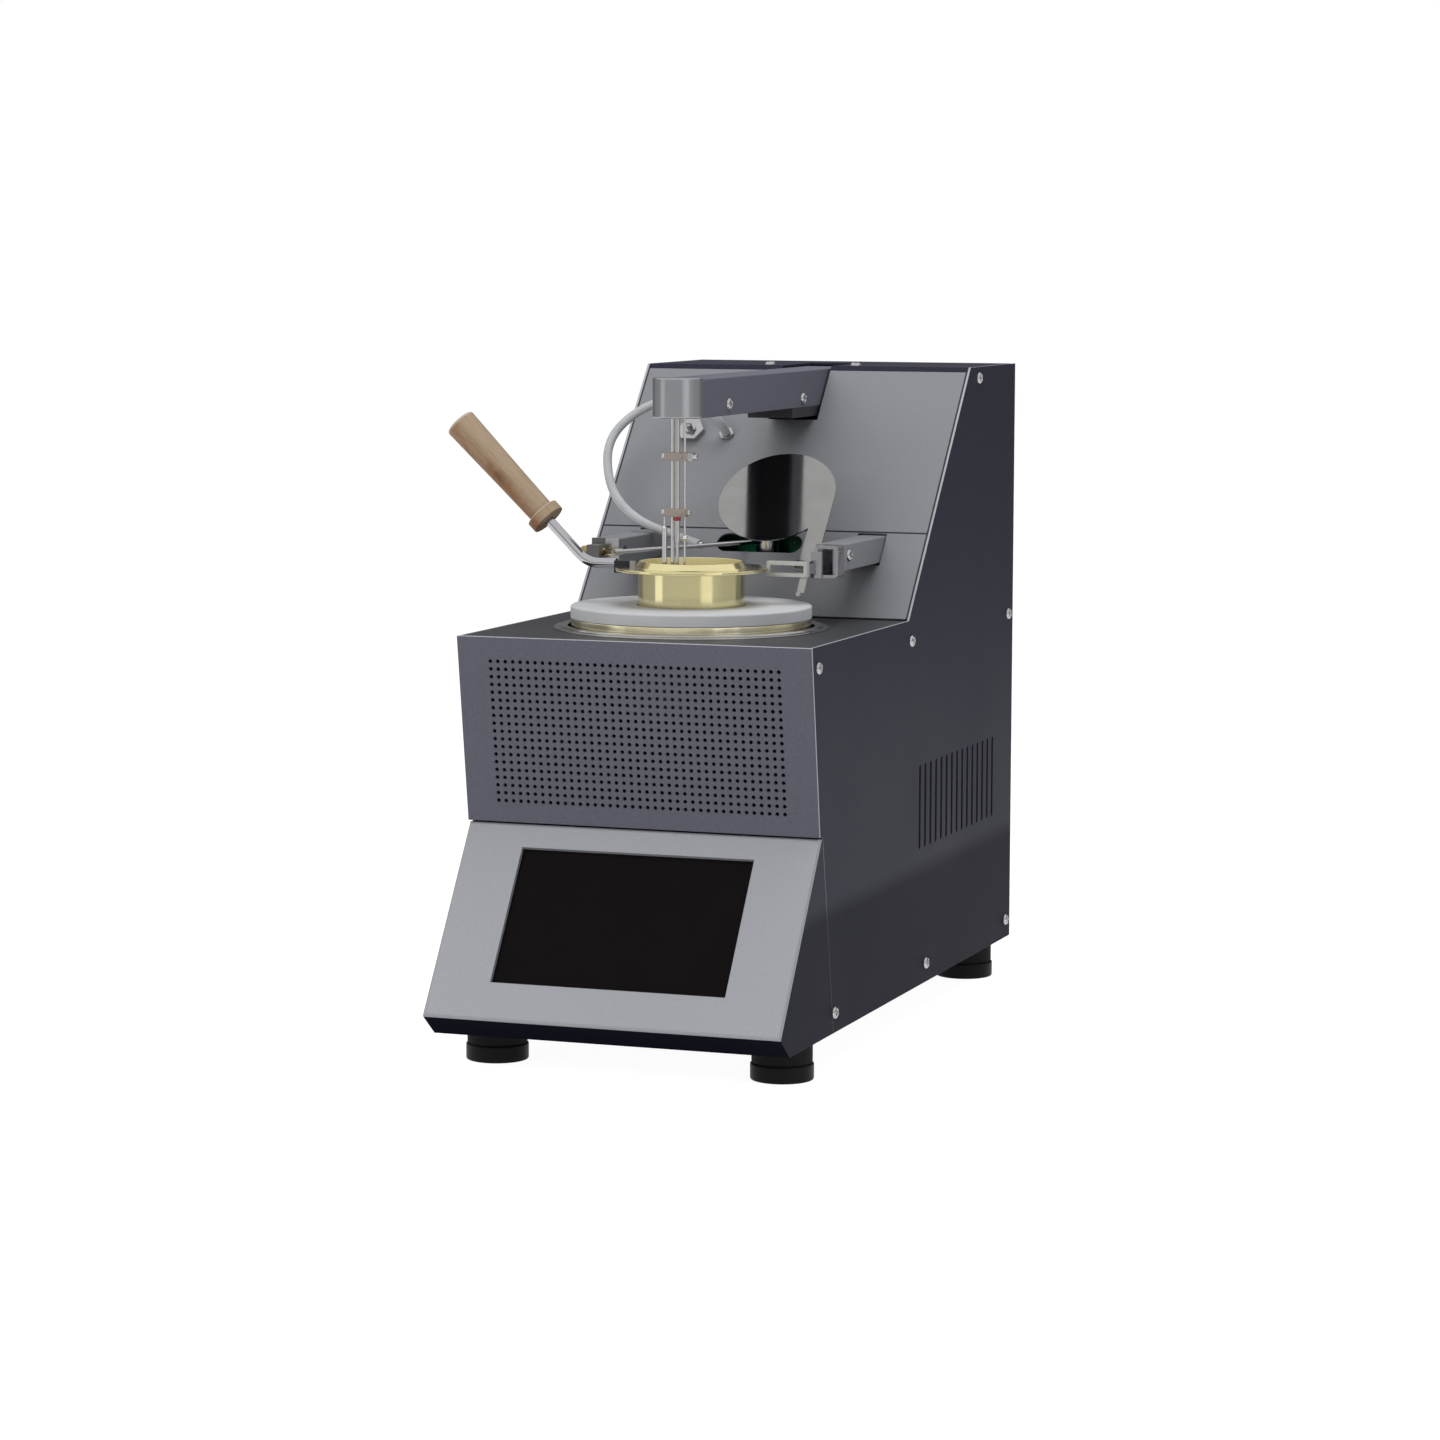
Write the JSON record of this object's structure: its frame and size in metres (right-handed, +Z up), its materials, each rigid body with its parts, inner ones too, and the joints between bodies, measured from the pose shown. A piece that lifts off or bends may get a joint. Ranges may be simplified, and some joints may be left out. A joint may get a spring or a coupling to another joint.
{
  "type": "flash point tester",
  "caption": "Bench flash point tester: brass open cup on a heated plate, lifting probe head, swinging test flame, hinged lid and sloping touch screen.",
  "frame": {"origin": "on the underside of the base pan, midway between the sides and between the front and back feet", "axes": "+X to the operator's right, +Y from the screen to the back, +Z up"},
  "size_m": [0.2858, 0.5273, 0.4315],
  "materials": {
    "case_dark": "fine textured powder coat",
    "front_grey": "fine textured powder coat",
    "face_grey": "satin grey paint",
    "bezel_silver": "satin silver paint",
    "screen_glass": "dark glossy front",
    "screw_steel": "bright",
    "stainless": "polished",
    "fibre": "matt fibre",
    "element": "dark cast",
    "brass": "machined, slightly tarnished",
    "white_board": "matt white",
    "black_clamp": "black",
    "chrome": "bright",
    "wood": "varnished light wood",
    "zinc": "zinc plated",
    "motor": "black",
    "board_green": "green solder mask",
    "nose_silver": "satin",
    "arm_grey": "fine textured powder coat",
    "alloy": "machined",
    "probe_steel": "bright",
    "mirror": "mirror polished",
    "ceramic_white": "white",
    "hose": "milky translucent silicone",
    "black_plastic": "black",
    "foot_black": "satin black, knurled ring"
  },
  "bodies": {
    "cabinet": {"base_pan": "zinc", "front_shell": "case_dark", "screen_bezel": "bezel_silver", "touch_screen": "screen_glass", "upper_front_panel": "front_grey", "deck_plate": "case_dark", "side_panel_left": "case_dark", "side_panel_right": "case_dark", "back_panel": "case_dark", "top_plate": "case_dark", "column_face_lower": "face_grey", "column_face_upper": "face_grey", "case_screws": "screw_steel", "heater_well": "stainless", "heater_insulation": "fibre", "heater_element": "element", "heating_plate": "brass", "insulating_disc": "white_board", "column_shelf": "zinc", "arm_crossbar": "zinc", "support_arms": "face_grey", "swing_motor": "motor", "arm_bracket": "zinc", "lift_motor": "motor", "drive_board": "board_green", "gas_valve": "brass", "gas_pipe": "brass", "gas_manifold": "stainless", "main_board": "board_green", "power_supply": "zinc", "power_inlet": "black_plastic", "fan_frame": "black_plastic", "hinge_bracket": "chrome", "hinge_pin": "chrome", "igniter_frame": "ceramic_white", "pilot_bracket": "chrome", "pilot_jet": "brass", "gas_hose": "hose"},
    "head": {"head_arm": "arm_grey", "head_link": "motor", "head_nose": "nose_silver", "head_screws": "screw_steel", "temperature_probe": "probe_steel", "flash_detector": "probe_steel", "detector_lead": "probe_steel", "short_sheath": "probe_steel", "probe_clamps": "alloy"},
    "cup": {"cup": "brass", "cup_clamp": "black_clamp", "handle_rod": "chrome", "handle_grip": "wood"},
    "flame_arm": {"flame_tube": "stainless"},
    "lid": {"lid": "mirror"},
    "foot_front_left": {"foot_front_left": "foot_black"},
    "foot_front_right": {"foot_front_right": "foot_black"},
    "foot_back_left": {"foot_back_left": "foot_black"},
    "foot_back_right": {"foot_back_right": "foot_black"},
    "fan_rotor": {"fan_rotor": "black_plastic"},
    "power_rocker": {"power_rocker": "black_plastic"},
    "valve_spindle": {"flame_valve_spindle": "stainless"}
  },
  "joints": [
    {"name": "head_arm_lift", "type": "hinge", "parent": "cabinet", "child": "head", "pos_m": [0, 0.145, 0.3], "axis": [-1, 0, 0], "range_deg": [0, 30]},
    {"name": "lid_swing", "type": "hinge", "parent": "cabinet", "child": "lid", "pos_m": [0.07, -0.0755, 0.2817], "axis": [0.9724, -0.2173, -0.0854], "range_deg": [0, 138.4]},
    {"name": "flame_arm_swing", "type": "hinge", "parent": "cabinet", "child": "flame_arm", "pos_m": [0, 0.0323, 0.2906], "axis": [0, 0, 1], "range_deg": [0, 45], "deforming": ["gas_hose"]},
    {"name": "cup_turn", "type": "hinge", "parent": "cabinet", "child": "cup", "pos_m": [0, -0.1177, 0.2516], "axis": [0, 0, 1], "range_deg": [-10, 75]},
    {"name": "foot_front_left_turn", "type": "hinge", "parent": "cabinet", "child": "foot_front_left", "pos_m": [-0.095, -0.213, 0], "axis": [0, 0, 1], "continuous": true},
    {"name": "foot_front_right_turn", "type": "hinge", "parent": "cabinet", "child": "foot_front_right", "pos_m": [0.095, -0.213, 0], "axis": [0, 0, 1], "continuous": true},
    {"name": "foot_back_left_turn", "type": "hinge", "parent": "cabinet", "child": "foot_back_left", "pos_m": [-0.095, 0.184, 0], "axis": [0, 0, 1], "continuous": true},
    {"name": "foot_back_right_turn", "type": "hinge", "parent": "cabinet", "child": "foot_back_right", "pos_m": [0.095, 0.184, 0], "axis": [0, 0, 1], "continuous": true},
    {"name": "fan_spin", "type": "hinge", "parent": "cabinet", "child": "fan_rotor", "pos_m": [0.048, 0.2102, 0.072], "axis": [0, 1, 0], "continuous": true},
    {"name": "power_rocker_tilt", "type": "hinge", "parent": "cabinet", "child": "power_rocker", "pos_m": [-0.072, 0.2182, 0.08], "axis": [1, 0, 0], "range_deg": [0, 8]},
    {"name": "flame_valve_turn", "type": "hinge", "parent": "cabinet", "child": "valve_spindle", "pos_m": [-0.07, 0.0745, 0.36032], "axis": [0, -0.7594, 0.6507], "range_deg": [0, 270]}
  ],
  "couplings": [
    {"joint": "lid_swing", "follows": "head_arm_lift", "ratio": 4.61}
  ]
}
